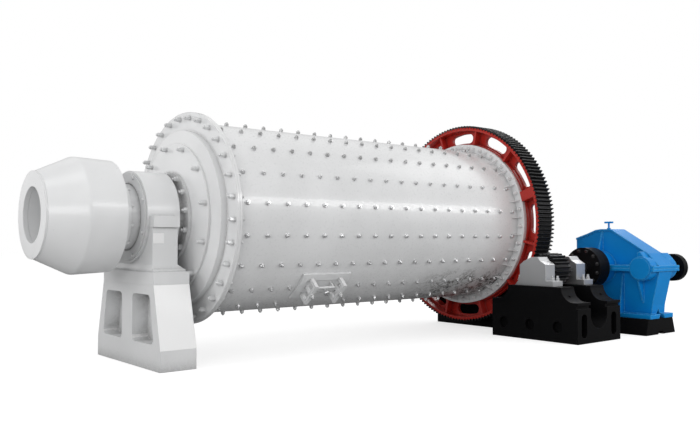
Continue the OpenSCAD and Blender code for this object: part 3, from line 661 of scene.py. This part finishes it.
bm = bmesh.new()
for node in ("near_manhole_clamp", "far_manhole_clamp"):
    low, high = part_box(node)
    place = round_axis(MANHOLE_TURN, CLAMP_TOP_RADIUS, (low[0] + high[0]) / 2.0)
    fastener(bm, aim(place, outward(MANHOLE_TURN)), CLAMP_NUT)
knob_foot = round_axis(KNOB_TURN, KNOB_FOOT_RADIUS, KNOB_X)
lathe(bm, aim(knob_foot, outward(KNOB_TURN)), KNOB_PROFILE, KNOB_SIDES)
piece("manhole_nuts", bm, "mill", bolt_steel)

# Bolts of the trunnion bearings' covers

COVER_BOLTS = 8
COVER_FIRST_TURN = 22.5
OUTER_COVER_HEAD = Nut(0.034, 0.017, 0.0, 0.0, 0.021, 0.003)
OUTER_COVER_BOLT_RADIUS = 0.438
OUTER_COVER_FACES = ((-0.209, -1), (DISCHARGE_X + 0.209, 1))
INNER_COVER_HEAD = Nut(0.024, 0.009, 0.0, 0.0, 0.015, 0.002)
INNER_COVER_BOLT_RADIUS = 0.426
INNER_COVER_FACES = ((0.179, 1), (DISCHARGE_X - 0.179, -1))

bm = bmesh.new()
for x, along in OUTER_COVER_FACES:
    bolt_ring(bm, COVER_BOLTS, COVER_FIRST_TURN, OUTER_COVER_BOLT_RADIUS, x, along, OUTER_COVER_HEAD)
for x, along in INNER_COVER_FACES:
    bolt_ring(bm, COVER_BOLTS, COVER_FIRST_TURN, INNER_COVER_BOLT_RADIUS, x, along, INNER_COVER_HEAD)
piece("bearing_cover_bolts", bm, "frame", white_paint)

# Bare plate on the feed bearing block

PLATE_LOW = (-0.165, -0.5535, 1.268)
PLATE_HIGH = (-0.045, -0.5495, 1.374)
PLATE_CUT = 0.0012

bm = bmesh.new()
block(bm, PLATE_LOW, PLATE_HIGH, PLATE_CUT)
piece("bearing_plate", bm, "frame", plate_paint)

# Pinion bearing studs and base bolts

BEARING_NUT = Nut(0.042, 0.030, 0.015, 0.030, 0.032, 0.006)
BEARING_STUD_INSET = 0.045
BEARING_FOOT_TOP = 0.769
BASE_NUT = Nut(0.055, 0.036, 0.020, 0.040, 0.045, 0.008)
BASE_BOLT_X = (4.815, 5.519)
BASE_BOLT_Y = -2.03
BASE_STEP_TOP = 0.514
UP = (0, 0, 1)

bm = bmesh.new()
for node in ("near_pinion_bearing", "far_pinion_bearing"):
    low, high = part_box(node)
    for x in (low[0] + BEARING_STUD_INSET, high[0] - BEARING_STUD_INSET):
        for y in (low[1] + BEARING_STUD_INSET, high[1] - BEARING_STUD_INSET):
            fastener(bm, aim(Vector((x, y, BEARING_FOOT_TOP)), UP), BEARING_NUT, twist=x)
piece("pinion_bearing_studs", bm, "frame", zinc)

bm = bmesh.new()
for x in BASE_BOLT_X:
    fastener(bm, aim(Vector((x, BASE_BOLT_Y, BASE_STEP_TOP)), UP), BASE_NUT, twist=x)
piece("pinion_base_bolts", bm, "frame", black_paint)

# Drive coupling's bolts

COUPLING_HEAD = Nut(0.036, 0.022, 0.0, 0.0, 0.026, 0.004)
COUPLING_BOLTS = 12
COUPLING_FIRST_TURN = 16.0
COUPLING_BOLT_RADIUS = 0.240
COUPLING_FACE_X = 5.898

bm = bmesh.new()
bolt_ring(bm, COUPLING_BOLTS, COUPLING_FIRST_TURN, COUPLING_BOLT_RADIUS, COUPLING_FACE_X, -1, COUPLING_HEAD,
          PINION_Y, PINION_Z)
piece("coupling_bolts", bm, "pinion_rotor", dark_bolt)

# Floor. The camera sees it lifted to white, and reflections see it darker than it is.

FLOOR_REACH = 60.0
FLOOR_Z = -0.002
FLOOR_SHADE = 0.52
FLOOR_MIRRORED = 0.26
FLOOR_LIFT = 0.72
WHITE_LIGHT = (1.0, 1.0, 1.0, 1.0)


def floor_look():
    mat, tree = new_material("floor_look")
    path = add(tree, "LightPath").outputs
    shade = math_of(tree, "MULTIPLY_ADD", path["Is Glossy Ray"], FLOOR_MIRRORED - FLOOR_SHADE, FLOOR_SHADE)
    colour = add(tree, "CombineColor", {"Red": shade, "Green": shade, "Blue": shade}).outputs["Color"]
    diffuse = add(tree, "BsdfDiffuse", {"Color": colour})
    lift = product(tree, path["Is Camera Ray"], FLOOR_LIFT)
    glow = add(tree, "Emission", {"Color": WHITE_LIGHT, "Strength": lift})
    both = add(tree, "AddShader", {0: diffuse.outputs["BSDF"], 1: glow.outputs["Emission"]})
    add(tree, "OutputMaterial", {"Surface": both.outputs["Shader"]})
    return mat


bm = bmesh.new()
corners = [(-FLOOR_REACH, -FLOOR_REACH), (FLOOR_REACH, -FLOOR_REACH),
           (FLOOR_REACH, FLOOR_REACH), (-FLOOR_REACH, FLOOR_REACH)]
bm.faces.new([bm.verts.new((x, y, FLOOR_Z)) for x, y in corners])
mesh = bpy.data.meshes.new("floor")
bm.to_mesh(mesh)
bm.free()
floor = bpy.data.objects.new("floor", mesh)
bpy.context.scene.collection.objects.link(floor)
floor.data.materials.append(floor_look())

# Sky. The camera sees white, reflections see brighter patches, and the rest is an even light.

SKY_LIGHT = 0.56
SKY_MIRRORED = 0.65
# Each patch has a direction, the cosines where it starts and where it is full, and its level
SKY_PATCHES = [
    (Vector((0.0, 0.0, 1.0)), 0.30, 0.70, 0.60),
    (Vector((-0.30, -0.09, 0.95)).normalized(), 0.972, 0.988, 1.80),
    (Vector((-0.40, 0.88, 0.25)).normalized(), 0.93, 0.98, 0.50),
]

world = bpy.data.worlds.new("studio")
bpy.context.scene.world = world
world.use_nodes = True
tree = world.node_tree
tree.nodes.clear()
path = add(tree, "LightPath").outputs
heading = add(tree, "TexCoord").outputs["Generated"]
mirrored = SKY_MIRRORED
for towards, start, full, level in SKY_PATCHES:
    patch = remap(tree, dot_product(tree, heading, towards), start, full, 0.0, level)
    mirrored = math_of(tree, "ADD", patch, mirrored)
reflected = product(tree, path["Is Glossy Ray"], mirrored)
seen = larger(tree, path["Is Camera Ray"], reflected)
sky = add(tree, "Background", {"Color": WHITE_LIGHT, "Strength": larger(tree, seen, SKY_LIGHT)})
add(tree, "OutputWorld", {"Surface": sky.outputs["Background"]})


def softbox(name, left, right, target, height, watts):
    """Soft lamp that runs from its left end to its right end and faces a target."""
    left, right = Vector(left), Vector(right)
    middle = (left + right) / 2.0
    across = (right - left).normalized()
    away = middle - Vector(target)
    away = (away - across * away.dot(across)).normalized()
    lamp = bpy.data.lights.new(name, "AREA")
    lamp.shape = "RECTANGLE"
    lamp.size = (right - left).length
    lamp.size_y = height
    lamp.energy = watts
    obj = bpy.data.objects.new(name, lamp)
    bpy.context.scene.collection.objects.link(obj)
    turn = Matrix((across, away.cross(across), away)).transposed()
    obj.matrix_world = Matrix.Translation(middle) @ turn.to_4x4()


softbox("overhead", (-2.5, 0.5, 9.5), (6.5, 0.5, 9.5), target=(2.4, -0.3, 1.5), height=5.0, watts=30.0)
softbox("left", (-10.0, 1.5, 4.2), (-9.5, -3.0, 4.2), target=(0.0, 0.0, 1.8), height=3.0, watts=190.0)
softbox("front_left", (-9.0, -5.5, 3.2), (-5.5, -9.0, 3.2), target=(-0.4, -0.4, 1.2), height=2.6, watts=205.0)
softbox("long_strip", (3.0, -12.8, 6.6), (15.5, -9.0, 4.4), target=(2.0, -1.0, 1.8), height=1.7, watts=440.0)
softbox("back_right", (12.5, 4.6, 5.8), (14.5, 1.0, 5.8), target=(5.2, -1.6, 1.0), height=2.6, watts=150.0)
softbox("right_high", (9.4, -3.8, 8.5), (11.9, 0.1, 8.5), target=(3.5, 0.0, 1.8), height=4.0, watts=60.0)

# Camera of the photograph, with angles in degrees

PHOTO_WIDTH = 700.0
FOCAL_PIXELS = 762.4
SENSOR_WIDTH = 36.0
CAMERA_PLACE = (-3.529, -7.767, 1.301)
CAMERA_LOOKS_UP = 1.593
CAMERA_HEADING = -39.476
SIGHT_LIMIT = 300.0

lens = bpy.data.cameras.new("photo_camera")
lens.sensor_fit = "HORIZONTAL"
lens.sensor_width = SENSOR_WIDTH
lens.lens = FOCAL_PIXELS / PHOTO_WIDTH * SENSOR_WIDTH
lens.clip_end = SIGHT_LIMIT
camera = bpy.data.objects.new("photo_camera", lens)
bpy.context.scene.collection.objects.link(camera)
camera.location = CAMERA_PLACE
camera.rotation_euler = (math.radians(90.0 + CAMERA_LOOKS_UP), 0.0, math.radians(CAMERA_HEADING))
bpy.context.scene.camera = camera
bpy.context.scene.view_settings.view_transform = "Standard"
